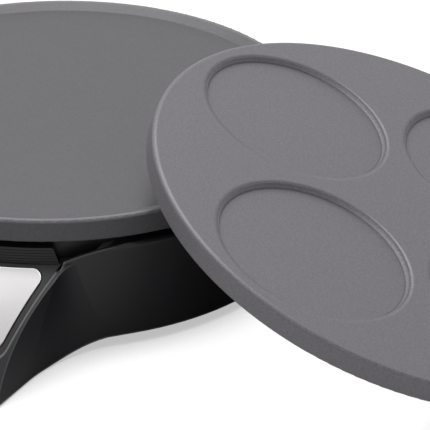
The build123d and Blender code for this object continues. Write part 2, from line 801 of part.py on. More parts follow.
# ------------------------------------------------------------------ sensor and capillary
# The thermostat's sealed bulb lies in two clips just under the plate. Its thin copper tube goes
# down through the pan and forward to the thermostat.
sensor_height = plate_underside - fit_gap - sensor_radius
with BuildPart() as sensor_bulb:
    with Locations(Plane(origin=(0, -sensor_offset, sensor_height), z_dir=(1, 0, 0))):
        Cylinder(sensor_radius, sensor_length)
    fillet(sensor_bulb.edges().filter_by(GeomType.CIRCLE), sensor_radius * 0.6)
sensor_bulb.part.label = "sensor_bulb"

with BuildPart() as sensor_clips:
    for side in (-1, 1):
        across_bulb = Plane(
            origin=(side * sensor_length / 3, -sensor_offset, sensor_height),
            x_dir=(0, 1, 0),
            z_dir=(1, 0, 0),
        )
        add(cradle(across_bulb, sensor_radius, sensor_height - pan_floor_height))
sensor_clips.part.label = "sensor_clips"

body_seat = knob_plane.offset(-bracket_depth - bracket_thickness)
capillary_entry = body_seat * Location(
    (thermostat_length / 4, thermostat_width / 2, -thermostat_depth * 0.75)
)
entry = Vector(*capillary_entry.position)
capillary_low = pan_floor_height * 2 / 3
capillary_points = [
    Vector(sensor_length / 2, -sensor_offset, sensor_height),
    Vector(*capillary_hole, sensor_height),
    Vector(*capillary_hole, capillary_low),
    Vector(capillary_hole[0] * 0.65, -0.69 * drum_radius, capillary_low - 2),
    entry + knob_plane.y_dir * capillary_run,
    entry,
]


def route(points):
    """A path of straight runs joined by arcs as large as the runs allow."""
    radii = []
    for before, corner, after in zip(points, points[1:], points[2:]):
        arriving = corner - before
        leaving = after - corner
        half_turn = math.radians(arriving.get_angle(leaving)) / 2
        radii.append(0.45 * min(arriving.length, leaving.length) / math.tan(half_turn))
    return FilletPolyline(*points, radius=radii)


def tube_along(points, radius):
    """A round tube or wire along a route."""
    with BuildPart() as tube:
        with BuildLine() as path:
            route(points)
        with BuildSketch(Plane(origin=points[0], z_dir=points[1] - points[0])) as section:
            Circle(radius)
        sweep(section.sketch, path=path.wires()[0])
    return tube.part


with BuildPart() as capillary_tube:
    add(tube_along(capillary_points, capillary_radius))
capillary_tube.part.label = "capillary_tube"

# ------------------------------------------------------------------ thermostat
# Steel-cased thermostat under the console's middle, hung from a plate bracket that two screws
# fix to the bezel. Its spindle comes up through the panel into the knob.
with BuildPart() as thermostat_bracket:
    with BuildSketch(body_seat) as bracket_plan:
        SlotOverall(2 * bracket_screw_y + 2 * boss_radius, thermostat_length * 0.8, rotation=90)
        with Locations((0, -bracket_screw_y), (0, bracket_screw_y)):
            Circle(screw_radius + sleeve_clearance, mode=Mode.SUBTRACT)
        Circle(spindle_radius + lamp_ledge, mode=Mode.SUBTRACT)
    extrude(bracket_plan.sketch, amount=bracket_thickness)
thermostat_bracket.part.label = "thermostat_bracket"

with BuildPart() as thermostat_body:
    with BuildSketch(body_seat) as body_plan:
        RectangleRounded(thermostat_length, thermostat_width, thermostat_corner)
    extrude(body_plan.sketch, amount=-thermostat_depth)
    chamfer(thermostat_body.faces().sort_by(knob_plane_axis)[0].edges(), thermostat_corner / 3)
    with Locations(body_seat):
        Cylinder(spindle_radius + spindle_clearance, thermostat_depth, mode=Mode.SUBTRACT)
    with BuildSketch(body_seat.offset(-thermostat_depth)) as tags:
        for side in (-1, 1):
            with Locations((side * thermostat_length / 4, 0)):
                Rectangle(sheet, tag_width)
    extrude(tags.sketch, amount=-tag_length)
thermostat_body.part.label = "thermostat_body"

with BuildPart() as thermostat_spindle:
    with Locations(body_seat.offset(-thermostat_depth / 2 + 1)):
        Cylinder(
            spindle_radius,
            bracket_depth + bracket_thickness + thermostat_depth / 2 + spindle_grip,
            align=(Align.CENTER, Align.CENTER, Align.MIN),
        )
thermostat_spindle.part.label = "thermostat_spindle"

# ------------------------------------------------------------------ knob
# Round black knob with a skirt and a fluted grip, bored from below for the spindle.
with BuildPart() as thermostat_knob:
    with BuildSketch(knob_seat) as skirt:
        Circle(knob_radius)
    extrude(skirt.sketch, amount=knob_skirt_height, taper=12)
    with BuildSketch(knob_seat) as grip:
        Circle(knob_grip_radius)
    extrude(grip.sketch, amount=knob_height, taper=3)
    top_edge = thermostat_knob.faces().sort_by(knob_plane_axis)[-1].edges()
    fillet(top_edge, 1.5)
    with BuildSketch(knob_seat.offset(knob_skirt_height)) as flutes:
        with PolarLocations(knob_grip_radius + 0.2, knob_flutes):
            Circle(knob_flute_radius)
    extrude(flutes.sketch, amount=knob_height, mode=Mode.SUBTRACT)
    with Locations(knob_seat):
        Cylinder(spindle_radius + spindle_clearance, 2 * (spindle_grip + 1), mode=Mode.SUBTRACT)
    with BuildSketch(knob_seat.offset(knob_height)) as pointer_slot:
        with Locations((0, knob_grip_radius / 2)):
            SlotOverall(pointer_length, pointer_width, rotation=90)
    extrude(pointer_slot.sketch, amount=-pointer_sink, mode=Mode.SUBTRACT)
thermostat_knob.part.label = "thermostat_knob"

with BuildPart() as knob_pointer:
    with BuildSketch(knob_seat.offset(knob_height - pointer_sink)) as pointer:
        with Locations((0, knob_grip_radius / 2)):
            SlotOverall(
                pointer_length - 2 * sleeve_clearance,
                pointer_width - 2 * sleeve_clearance,
                rotation=90,
            )
    extrude(pointer.sketch, amount=pointer_sink + pointer_stands_out)
knob_pointer.part.label = "knob_pointer"


# ------------------------------------------------------------------ indicator lamps
# Two domed lenses in the panel, each in the mouth of a holder that encloses a neon lamp.
def lens(turn):
    """A lens with its stem, at a lamp's place."""
    seat = lamp_plane(turn)
    with BuildPart() as one_lens:
        with Locations(seat.offset(panel_stands_out + lamp_dome / 2)):
            Cylinder(lamp_radius, lamp_depth / 2, align=(Align.CENTER, Align.CENTER, Align.MAX))
        normal = Axis(seat.origin, seat.z_dir)
        fillet(one_lens.faces().sort_by(normal)[-1].edges(), lamp_dome / 2)
    return one_lens.part


with BuildPart() as power_lens:
    add(lens(-lamp_turn))
power_lens.part.label = "power_lens"

with BuildPart() as ready_lens:
    add(lens(lamp_turn))
ready_lens.part.label = "ready_lens"

with BuildPart() as lamp_holders:
    for turn in (-lamp_turn, lamp_turn):
        with Locations(lamp_plane(turn).offset(-bezel_thickness - fit_gap)):
            Cylinder(
                lamp_radius + lamp_holder_wall,
                lamp_depth,
                align=(Align.CENTER, Align.CENTER, Align.MAX),
            )
            Cylinder(
                lamp_radius + sleeve_clearance,
                lamp_depth - lamp_holder_wall,
                align=(Align.CENTER, Align.CENTER, Align.MAX),
                mode=Mode.SUBTRACT,
            )
lamp_holders.part.label = "lamp_holders"

with BuildPart() as neon_lamps:
    for turn in (-lamp_turn, lamp_turn):
        base = lamp_plane(turn).offset(-bezel_thickness - fit_gap - lamp_depth + lamp_holder_wall)
        with Locations(base):
            Cylinder(lamp_radius / 2, lamp_depth / 2, align=(Align.CENTER, Align.CENTER, Align.MIN))
neon_lamps.part.label = "neon_lamps"


# ------------------------------------------------------------------ thermal fuse
# One-shot fuse in a strap against the underside of the pan.
fuse_height = pan_floor_height - sheet - sleeve_clearance - fuse_radius
with BuildPart() as thermal_fuse:
    with Locations(Plane(origin=(*fuse_place, fuse_height), z_dir=(0, 1, 0))):
        Cylinder(fuse_radius, fuse_length)
        Cylinder(fuse_radius / 4, fuse_length * 2)
thermal_fuse.part.label = "thermal_fuse"

with BuildPart() as fuse_strap:
    strap_plane = Plane(origin=(*fuse_place, fuse_height), x_dir=(1, 0, 0), z_dir=(0, -1, 0))
    strap_reach = fuse_radius + sleeve_clearance
    with BuildSketch(strap_plane) as strap_section:
        Circle(strap_reach + sheet)
        with Locations((0, strap_reach)):
            Rectangle(8 * fuse_radius, sheet, align=(Align.CENTER, Align.MAX))
            Rectangle(8 * fuse_radius, 2 * strap_reach, align=(Align.CENTER, Align.MIN), mode=Mode.SUBTRACT)
        Circle(strap_reach, mode=Mode.SUBTRACT)
        Rectangle(2 * strap_reach, strap_reach, align=(Align.CENTER, Align.MIN), mode=Mode.SUBTRACT)
    extrude(strap_section.sketch, amount=fuse_length / 4, both=True)
fuse_strap.part.label = "fuse_strap"

# ------------------------------------------------------------------ terminal block
# Three-way screw terminal block on the base pan, just inside the cord gland.
pole_pitch = block_length / block_poles
pole_x = [pole_pitch * (index - (block_poles - 1) / 2) for index in range(block_poles)]
block_middle = base_pan_top + block_height / 2
with BuildPart() as terminal_block:
    with Locations((0, block_y, base_pan_top)):
        Box(block_length, block_width, block_height, align=(Align.CENTER, Align.CENTER, Align.MIN))
    chamfer(terminal_block.faces().sort_by(Axis.Z)[-1].edges(), 1)
    well_places = [(x, block_y + side * block_width / 4) for x in pole_x for side in (-1, 1)]
    with Locations(*[(x, y, base_pan_top + block_height) for x, y in well_places]):
        Cylinder(block_width / 8, block_height, mode=Mode.SUBTRACT)
terminal_block.part.label = "terminal_block"

with BuildPart() as terminal_screws:
    with Locations(*[(x, y, block_middle) for x, y in well_places]):
        Cylinder(
            block_width / 8 - sleeve_clearance,
            block_height / 4,
            align=(Align.CENTER, Align.CENTER, Align.MIN),
        )
terminal_screws.part.label = "terminal_screws"

# ------------------------------------------------------------------ leads and connectors
# Insulated leads along the base pan: live to the thermostat, switched to one end of the
# element, neutral to the other. Push-on connectors hold them on the element's pins.
pin_bottom = element_end_height - terminal_pin_length
with BuildPart() as push_on_connectors:
    with Locations(*[(x, y, pin_bottom + 1) for x, y in leg_places]):
        Cylinder(connector_radius, connector_length)
        with Locations((0, 0, connector_length / 2)):
            Cylinder(
                terminal_pin_radius + sleeve_clearance,
                2 * connector_length - tube_radius,
                mode=Mode.SUBTRACT,
            )
push_on_connectors.part.label = "push_on_connectors"



def tag_end(side):
    """The end of one of the thermostat's tags."""
    place = (side * thermostat_length / 4, 0, -thermostat_depth - tag_length)
    return Vector(*(body_seat * Location(place)).position)


block_front = block_y - block_width / 2 - fit_gap
connector_bottom = pin_bottom + 1 - connector_length / 2
lead_slope = console_fall / 2


def lead_to_pin(start, via, leg):
    """Points of a lead that runs along the base pan and turns up into a connector."""
    return [
        start,
        start - Vector(0, lead_first_run, start.Z - lead_height),
        Vector(*via[0], lead_height),
        Vector(*via[1], lead_height),
        Vector(*leg, lead_height),
        Vector(*leg, connector_bottom),
    ]


with BuildPart() as neutral_lead:
    neutral_start = Vector(pole_x[0], block_front, block_middle)
    left_leg = leg_places[0]
    neutral_via = [
        (pole_x[0] - lead_swing, lead_bend_y),
        (left_leg[0] - lead_swing, left_leg[1] + lead_leg_run),
    ]
    add(tube_along(lead_to_pin(neutral_start, neutral_via, left_leg), lead_radius))
neutral_lead.part.label = "neutral_lead"

last_slope = Vector(0, 1, -math.tan(lead_slope))
with BuildPart() as live_lead:
    live_start = Vector(pole_x[2], block_front, block_middle)
    live_end = tag_end(1)
    live_points = [live_start, live_start - Vector(0, lead_first_run, live_start.Z - lead_height)]
    live_points += [Vector(*place, lead_height) for place in live_way]
    live_points += [
        Vector(live_end.X + lead_swing, live_end.Y + live_rise, lead_height),
        live_end + last_slope * connector_length,
        live_end + last_slope * lead_radius,
    ]
    add(tube_along(live_points, lead_radius))
live_lead.part.label = "live_lead"

with BuildPart() as switched_lead:
    switched_start = tag_end(-1)
    right_leg = leg_places[1]
    switched_points = [
        switched_start + last_slope * lead_radius,
        switched_start + last_slope * connector_length,
        Vector(switched_start.X, right_leg[1] - switched_run, lead_height),
        Vector(right_leg[0], right_leg[1] - switched_run + lead_height / 4, lead_height),
        Vector(*right_leg, lead_height),
        Vector(*right_leg, connector_bottom),
    ]
    add(tube_along(switched_points, lead_radius))
switched_lead.part.label = "switched_lead"

# ------------------------------------------------------------------ plates
# Die-cast aluminium plates with a grey non-stick coat. Both have the same underside: a skirt, a
# flat land that meets the element, ribs, and lugs that centre the plate on the collar.
def plate_blank(height, lip):
    """A plate turned about its own axis, its skirt's lower edge at z = 0."""
    skirt_inner = plate_radius - skirt_wall
    points = [
        (0, underside_height),
        (land_inner_radius, underside_height),
        (land_inner_radius, 0),
        (land_outer_radius, 0),
        (land_outer_radius, underside_height),
        (skirt_inner, underside_height),
        (skirt_inner, 0),
        (plate_radius, 0),
        (plate_radius, height),
    ]
    if lip:
        lip_inner = plate_radius - rim_rounding - crepe_lip_flat
        points.append((lip_inner, height))
        points.append((lip_inner - crepe_lip_slope, height - lip))
    points.append((0, height - lip))
    with BuildPart() as blank:
        with BuildSketch(Plane.XZ) as section:
            with BuildLine():
                Polyline(*points, close=True)
            make_face()
            lower_corners = section.vertices().group_by(Axis.Y)[0]
            fillet(lower_corners.sort_by(Axis.X)[-2:], skirt_rounding)
            upper_corners = section.vertices().group_by(Axis.Y)[-1]
            fillet(upper_corners.filter_by_position(Axis.X, 1, plate_radius), rim_rounding)
            if lip:
                foot = section.vertices().filter_by_position(
                    Axis.X, plate_radius / 2, lip_inner - crepe_lip_slope + 1
                )
                fillet(foot.sort_by(Axis.Y)[-1], lip_foot_rounding)
        revolve(section.sketch, axis=Axis.Z)
        lug_inner = collar_radius + pan_rim_overhang + fit_gap
        with BuildSketch(Plane.XY.offset(underside_height)) as lugs:
            with PolarLocations((lug_inner + skirt_inner + 1) / 2, lug_count):
                Rectangle(skirt_inner + 1 - lug_inner, lug_width)
        extrude(lugs.sketch, amount=-lug_height)
        with BuildSketch(Plane.XY.offset(underside_height)) as ribs:
            with PolarLocations((land_outer_radius + rib_outer_radius) / 2, rib_count):
                Rectangle(rib_outer_radius - land_outer_radius + 1, rib_width)
        extrude(ribs.sketch, amount=-rib_height)
    return blank.part


with BuildPart() as crepe_plate:
    with Locations((0, 0, plate_bottom)):
        add(plate_blank(crepe_plate_height, crepe_lip_height))
crepe_plate.part.label = "crepe_plate"

# The pancake plate leans with its back on the crepe plate's rim and its skirt on the table.
lean = math.radians(lean_angle)
lean_low = (
    skirt_rounding
    + (plate_radius - skirt_rounding) * math.sin(lean)
    - skirt_rounding * math.cos(lean)
)
rim_centre = (plate_radius - rim_rounding, plate_bottom + crepe_plate_height - rim_rounding)
lean_rise = rim_centre[1] + (rim_rounding + lean_gap) / math.cos(lean) - lean_low
lean_x = rim_centre[0] + lean_rise / math.tan(lean)
lean_plane = Plane(
    origin=(lean_x, lean_offset_y, lean_low),
    x_dir=(math.cos(lean), 0, -math.sin(lean)),
    z_dir=(math.sin(lean), 0, math.cos(lean)),
)
with BuildPart() as flat_pancake_plate:
    add(plate_blank(pancake_plate_height, 0))
    with BuildSketch(Plane.XY.offset(pancake_plate_height)) as recesses:
        with PolarLocations(recess_pitch_radius, recess_count, start_angle=recess_turn):
            Circle(recess_radius)
    extrude(recesses.sketch, amount=-recess_depth, taper=recess_draft, mode=Mode.SUBTRACT)
    mouths = flat_pancake_plate.edges().filter_by(GeomType.CIRCLE).filter_by(
        lambda edge: abs(edge.radius - recess_radius) < recess_rounding
    )
    fillet(mouths, recess_rounding)

with BuildPart() as pancake_plate:
    with Locations(lean_plane):
        add(flat_pancake_plate.part)
pancake_plate.part.label = "pancake_plate"

# ------------------------------------------------------------------ the whole set
base_pieces = [
    housing, console_bezel, control_panel, front_rail, reflector_pan, heating_element,
    element_bushes, element_clips, sensor_bulb, sensor_clips, capillary_tube, base_pan,
    rubber_feet, base_screws, pan_screws, bracket_screws, cord_gland, thermostat_bracket,
    thermostat_body, power_lens, ready_lens, lamp_holders, neon_lamps, thermal_fuse, fuse_strap,
    terminal_block, terminal_screws, push_on_connectors, neutral_lead, live_lead, switched_lead,
]
moving_pieces = [thermostat_spindle, thermostat_knob, knob_pointer, crepe_plate, pancake_plate]
pieces = [piece.part for piece in base_pieces + moving_pieces]
boxes = [piece.bounding_box() for piece in pieces]
low = [min(box.min.X for box in boxes), min(box.min.Y for box in boxes)]
high = [max(box.max.X for box in boxes), max(box.max.Y for box in boxes)]
shift = Location((-(low[0] + high[0]) / 2, -(low[1] + high[1]) / 2, 0))

os.makedirs("parts", exist_ok=True)
for piece in pieces:
    export_step(piece.moved(shift), f"parts/{piece.label}.step")
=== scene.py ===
import json
import math

import bmesh
import bpy
from mathutils import Matrix, Vector


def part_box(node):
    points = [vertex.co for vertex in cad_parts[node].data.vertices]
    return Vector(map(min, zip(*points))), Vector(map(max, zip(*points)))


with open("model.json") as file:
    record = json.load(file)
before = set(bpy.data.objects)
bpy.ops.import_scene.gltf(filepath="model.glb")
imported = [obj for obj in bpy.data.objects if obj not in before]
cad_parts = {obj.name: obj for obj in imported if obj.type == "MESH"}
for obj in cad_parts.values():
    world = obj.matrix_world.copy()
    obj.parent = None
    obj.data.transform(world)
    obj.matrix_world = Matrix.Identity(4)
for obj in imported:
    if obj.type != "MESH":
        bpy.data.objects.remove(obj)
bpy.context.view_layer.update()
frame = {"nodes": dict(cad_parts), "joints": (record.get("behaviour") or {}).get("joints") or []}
nodes = frame["nodes"]


# ------------------------------------------------------------------ housing
# One injection-moulded shell for the drum and its tongue, in black heat-proof plastic. The mould
# gives its outside a fine matt grain. Screws from below hold it to the base pan.
sheen_width = 0.03
mottle_grains = 1.5
# Where the painted edge highlight starts and where it is full, on the edge feeler's scale.
edge_highlight_least = 0.55
edge_highlight_most = 0.9


def drifting(tree, place, width, low, high):
    """A value that drifts slowly between two limits over the piece."""
    noise = tree.nodes.new("ShaderNodeTexNoise")
    noise.inputs["Scale"].default_value = 1 / width
    noise.inputs["Detail"].default_value = 3
    limits = tree.nodes.new("ShaderNodeMapRange")
    limits.inputs["From Min"].default_value = 0.3
    limits.inputs["From Max"].default_value = 0.7
    limits.inputs["To Min"].default_value = low
    limits.inputs["To Max"].default_value = high
    tree.links.new(place, noise.inputs["Vector"])
    tree.links.new(noise.outputs["Fac"], limits.inputs["Value"])
    return limits.outputs["Result"]


def surface(
    name, colour, roughness, grain_width, grain_depth, gloss=0.5, metallic=0.0, mottle=0.05, drift=0.04
):
    """A finish with a fine mottle of two near shades, a drifting sheen and a fine grain."""
    finish = bpy.data.materials.new(name)
    finish.use_nodes = True
    tree = finish.node_tree
    shader = tree.nodes["Principled BSDF"]
    shader.inputs["Specular IOR Level"].default_value = gloss
    shader.inputs["Metallic"].default_value = metallic
    place = tree.nodes.new("ShaderNodeTexCoord").outputs["Object"]

    shades = tree.nodes.new("ShaderNodeMix")
    shades.data_type = "RGBA"
    shades.inputs[6].default_value = (*[(1 - mottle) * part for part in colour], 1)
    shades.inputs[7].default_value = (*[(1 + mottle) * part for part in colour], 1)
    tree.links.new(drifting(tree, place, mottle_grains * grain_width, 0, 1), shades.inputs[0])
    tree.links.new(shades.outputs[2], shader.inputs["Base Color"])

    sheen = drifting(tree, place, sheen_width, roughness - drift, roughness + drift)
    tree.links.new(sheen, shader.inputs["Roughness"])

    grain = tree.nodes.new("ShaderNodeTexNoise")
    grain.inputs["Scale"].default_value = 1 / grain_width
    grain.inputs["Detail"].default_value = 2
    bump = tree.nodes.new("ShaderNodeBump")
    bump.name = "Grain"
    bump.inputs["Strength"].default_value = 1
    bump.inputs["Distance"].default_value = grain_depth
    tree.links.new(place, grain.inputs["Vector"])
    tree.links.new(grain.outputs["Fac"], bump.inputs["Height"])
    tree.links.new(bump.outputs["Normal"], shader.inputs["Normal"])
    return finish


def dress(finish, *names):
    """Gives CAD nodes their finish."""
    for name in names:
        piece = nodes[name]
        piece.data.materials.clear()
        piece.data.materials.append(finish)


def near_edges(tree, inside, reach, least, most):
    """1 where nothing is within reach, 0 where much is: in front, or behind the surface if inside."""
    feeler = tree.nodes.new("ShaderNodeAmbientOcclusion")
    feeler.samples = 16
    feeler.inside = inside
    feeler.inputs["Distance"].default_value = reach
    limits = tree.nodes.new("ShaderNodeMapRange")
    limits.inputs["From Min"].default_value = least
    limits.inputs["From Max"].default_value = most
    tree.links.new(feeler.outputs["AO"], limits.inputs["Value"])
    return limits.outputs["Result"]


def with_painted_edge_highlight(finish, reach, colour):
    """Lightens a finish along its outer edges: a painted highlight where the edges would catch the light.
    """
    tree = finish.node_tree
    shader = tree.nodes["Principled BSDF"]
    highlighted = tree.nodes.new("ShaderNodeMix")
    highlighted.data_type = "RGBA"
    highlighted.inputs[6].default_value = (*colour, 1)
    tree.links.new(near_edges(tree, True, reach, edge_highlight_least, edge_highlight_most), highlighted.inputs[0])
    tree.links.new(shader.inputs["Base Color"].links[0].from_socket, highlighted.inputs[7])
    tree.links.new(highlighted.outputs[2], shader.inputs["Base Color"])
    return finish


housing_black = surface("housing_black", (0.0185, 0.0185, 0.0215), 0.4, 0.0005, 0.00004, gloss=0.36)
# The housing's outer edges are painted lighter: a painted highlight.
housing_black = with_painted_edge_highlight(housing_black, reach=0.0014, colour=(0.2, 0.2, 0.205))
dress(housing_black, "housing")

# ------------------------------------------------------------------ base pan and feet
# The base pan is a flat black moulding with vent slots. Rubber feet are pushed through it and
# zinc-plated screws come up through it into the housing's bosses.
pan_black = surface("base_pan_black", (0.014, 0.014, 0.015), 0.55, 0.0008, 0.0001, gloss=0.35)
foot_rubber = surface("foot_rubber", (0.016, 0.016, 0.016), 0.75, 0.0006, 0.00008, gloss=0.3)
zinc_plate = surface("zinc_plate", (0.55, 0.55, 0.53), 0.35, 0.0004, 0.00002, metallic=1.0)
dress(pan_black, "base_pan")
dress(foot_rubber, "rubber_feet", "cord_gland")
dress(zinc_plate, "base_screws", "pan_screws", "bracket_screws")

# ------------------------------------------------------------------ bezel, rail and panel
# A dark grey frame closes the console. The silver panel is a thin painted inset in its pocket,
# and the black rail behind it is grooved round its front.
# How far the painted shade in narrow seams reaches, and its colour.
seam_shade_reach = 0.003
seam_shade_colour = (0.001, 0.001, 0.001, 1)


def with_painted_seam_shade(finish, least, most):
    """Darkens a finish deep in the narrow seams between pieces: painted shade where little light reaches.
    """
    tree = finish.node_tree
    shader = tree.nodes["Principled BSDF"]
    seam_shaded = tree.nodes.new("ShaderNodeMix")
    seam_shaded.data_type = "RGBA"
    seam_shaded.inputs[6].default_value = seam_shade_colour
    tree.links.new(near_edges(tree, False, seam_shade_reach, least, most), seam_shaded.inputs[0])
    tree.links.new(shader.inputs["Base Color"].links[0].from_socket, seam_shaded.inputs[7])
    tree.links.new(seam_shaded.outputs[2], shader.inputs["Base Color"])
    return finish


bezel_grey = surface("bezel_grey", (0.041, 0.041, 0.042), 0.45, 0.0005, 0.00004, gloss=0.25)
# The bezel is painted dark in its seams round the panel and under the rail: painted shade.
bezel_grey = with_painted_seam_shade(bezel_grey, least=0.65, most=0.9)
rail_black = surface("rail_black", (0.013, 0.013, 0.0135), 0.35, 0.0004, 0.00002, gloss=0.3)
panel_silver = surface(
    "panel_silver", (0.7, 0.68, 0.685), 0.36, 0.0003, 0.00001, metallic=0.25, mottle=0.01
)
# The panel's edges are painted near white: a painted highlight.
panel_silver = with_painted_edge_highlight(panel_silver, reach=0.0009, colour=(0.98, 0.98, 0.98))
# The panel's foot in its pocket is painted dark: painted shade.
panel_silver = with_painted_seam_shade(panel_silver, least=0.45, most=0.65)
dress(bezel_grey, "console_bezel")
dress(rail_black, "front_rail")
dress(panel_silver, "control_panel")

# ------------------------------------------------------------------ knob and lamps
# The knob is a black moulding with a fluted grip and an inlaid white pointer. The lamps' lenses
# are tinted clear plastic over neon lamps in white holders.
lens_clearness = 0.35
knob_black = surface("knob_black", (0.012, 0.012, 0.0125), 0.32, 0.0004, 0.00002)
pointer_white = surface("pointer_white", (0.78, 0.78, 0.77), 0.4, 0.0004, 0.00001)
holder_white = surface("holder_white", (0.7, 0.69, 0.66), 0.5, 0.0005, 0.00003)
turned_steel = surface("turned_steel", (0.5, 0.5, 0.5), 0.3, 0.0002, 0.00001, metallic=1.0)
dress(knob_black, "thermostat_knob")
dress(pointer_white, "knob_pointer")
dress(holder_white, "lamp_holders")
dress(turned_steel, "thermostat_spindle")


def lens_tint(name, colour):
    """Tinted lens plastic: glossy, with some light passing through it."""
    finish = surface(name, colour, 0.16, 0.0008, 0.00001)
    shader = finish.node_tree.nodes["Principled BSDF"]
    shader.inputs["Transmission Weight"].default_value = lens_clearness
    return finish


dress(lens_tint("lens_red", (0.6, 0.015, 0.01)), "power_lens")
dress(lens_tint("lens_green", (0.02, 0.42, 0.06)), "ready_lens")

# ------------------------------------------------------------------ pan, element and sensor
# The reflector pan is bright pressed steel. The element's tube is darkened by heat and passes
# through white ceramic bushes. The sensor's bulb and capillary are copper.
pan_steel = surface("pan_steel", (0.62, 0.61, 0.59), 0.28, 0.0006, 0.00003, metallic=1.0)
element_steel = surface("element_steel", (0.13, 0.12, 0.11), 0.5, 0.0004, 0.00005, metallic=0.8)
bush_ceramic = surface("bush_ceramic", (0.72, 0.7, 0.64), 0.5, 0.0003, 0.00003)
clip_steel = surface("clip_steel", (0.5, 0.49, 0.47), 0.4, 0.0005, 0.00003, metallic=1.0)
sensor_copper = surface("sensor_copper", (0.62, 0.3, 0.17), 0.35, 0.0004, 0.00002, metallic=1.0)
dress(pan_steel, "reflector_pan")
dress(element_steel, "heating_element")
dress(bush_ceramic, "element_bushes")
dress(clip_steel, "element_clips", "sensor_clips", "fuse_strap", "thermostat_bracket")
dress(sensor_copper, "sensor_bulb", "capillary_tube")

# ------------------------------------------------------------------ wiring
# The thermostat has a plated steel case. Leads with coloured silicone sleeves run from the ivory
# terminal block, and brass connectors hold them on the element's pins. The neon lamps are glass.
case_steel = surface("case_steel", (0.56, 0.56, 0.54), 0.36, 0.0005, 0.00002, metallic=1.0)
block_ivory = surface("block_ivory", (0.68, 0.65, 0.54), 0.5, 0.0005, 0.00003)
terminal_brass = surface("terminal_brass", (0.66, 0.47, 0.2), 0.33, 0.0004, 0.00002, metallic=1.0)
lead_blue = surface("lead_blue", (0.03, 0.09, 0.4), 0.5, 0.0005, 0.00002)
lead_brown = surface("lead_brown", (0.16, 0.065, 0.03), 0.5, 0.0005, 0.00002)
lead_black = surface("lead_black", (0.014, 0.014, 0.014), 0.5, 0.0005, 0.00002)
neon_glass = surface("neon_glass", (0.85, 0.7, 0.55), 0.1, 0.0008, 0.00001)
dress(case_steel, "thermostat_body", "thermal_fuse")
dress(block_ivory, "terminal_block")
dress(terminal_brass, "terminal_screws", "push_on_connectors")
dress(lead_blue, "neutral_lead")
dress(lead_brown, "live_lead")
dress(lead_black, "switched_lead")
dress(neon_glass, "neon_lamps")

# ------------------------------------------------------------------ plates
# Both plates are die-cast aluminium under a grey non-stick coat, sprayed on and baked, with a fine
# metallic speckle in it. The coat rounds the rims and the recesses' mouths softly. A painted highlight
# lightens the crepe plate's rim and a painted shade darkens the recesses' corners. Neither plate is fixed.
coat_rounding = 0.0026
plate_heights = {"crepe_plate": 0.013, "pancake_plate": 0.0124}

# Four recesses, as in the pancake plate's CAD: the radii at their mouth and foot, how far out their
# middles are, the turn that brings them onto the plate's own X and Y, and how high their floors lie.
recess_mouth = 0.055
recess_foot = 0.0534
recess_circle = 0.087
recess_turn = math.radians(72)
recess_floor_above_middle = 0.0032

# How strongly the coat eases the recesses' walls, how wide and dark the painted shade line at their foot
# is, and over what width the painted highlight on the crepe plate's rim fades in.
recess_wall_ease = 1.5
recess_shade_width = 0.0006
recess_foot_shade = 0.55
rim_highlight_fade = 0.0012


def computed(tree, operation, first, second=0.0, third=0.0, limited=False):
    """The result of one sum on values or sockets."""
    node = tree.nodes.new("ShaderNodeMath")
    node.operation = operation
    node.use_clamp = limited
    for place, value in enumerate((first, second, third)):
        if isinstance(value, (int, float)):
            node.inputs[place].default_value = value
        else:
            tree.links.new(value, node.inputs[place])
    return node.outputs[0]


def disc_radius(name):
    """A round plate's radius, half its box across the lean."""
    low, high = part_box(name)
    return (high[1] - low[1]) / 2


def plate_lean(name):
    """The angle at which a plate leans, from the joint that lifts it off."""
    axis = next(joint["axis"] for joint in frame["joints"] if joint["name"] == name + "_lift")
    return math.atan2(axis[0], axis[2])


def on_plate(tree, name):
    """Places on a plate in its own frame: Z along its axis, zero in its middle."""
    low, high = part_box(name)
    turn = Matrix.Rotation(-plate_lean(name), 3, "Y")
    place = tree.nodes.new("ShaderNodeMapping")
    place.inputs["Rotation"].default_value = (0, -plate_lean(name), 0)
    place.inputs["Location"].default_value = -(turn @ ((Vector(low) + Vector(high)) / 2))
    tree.links.new(tree.nodes.new("ShaderNodeTexCoord").outputs["Object"], place.inputs["Vector"])
    parts = tree.nodes.new("ShaderNodeSeparateXYZ")
    tree.links.new(place.outputs["Vector"], parts.inputs[0])
    return parts.outputs[0], parts.outputs[1], parts.outputs[2]


def length_of(tree, first, second):
    """The length of a flat vector given by its two parts."""
    second_squared = computed(tree, "MULTIPLY", second, second)
    return computed(tree, "SQRT", computed(tree, "MULTIPLY_ADD", first, first, second_squared))


def rounded_off(tree, beyond, depth=0.5):
    """The height, in roundings, that a soft rounding takes off beyond its start."""
    share = computed(tree, "DIVIDE", beyond, coat_rounding, limited=True)
    return computed(tree, "MULTIPLY", computed(tree, "MULTIPLY", share, share), -depth)


def scale_colour(finish, factor):
    """Multiplies a finish's colour by a value that varies over the piece."""
    tree = finish.node_tree
    shader = tree.nodes["Principled BSDF"]
    scaled = tree.nodes.new("ShaderNodeVectorMath")
    scaled.operation = "SCALE"
    tree.links.new(shader.inputs["Base Color"].links[0].from_socket, scaled.inputs[0])
    tree.links.new(factor, scaled.inputs["Scale"])
    tree.links.new(scaled.outputs["Vector"], shader.inputs["Base Color"])


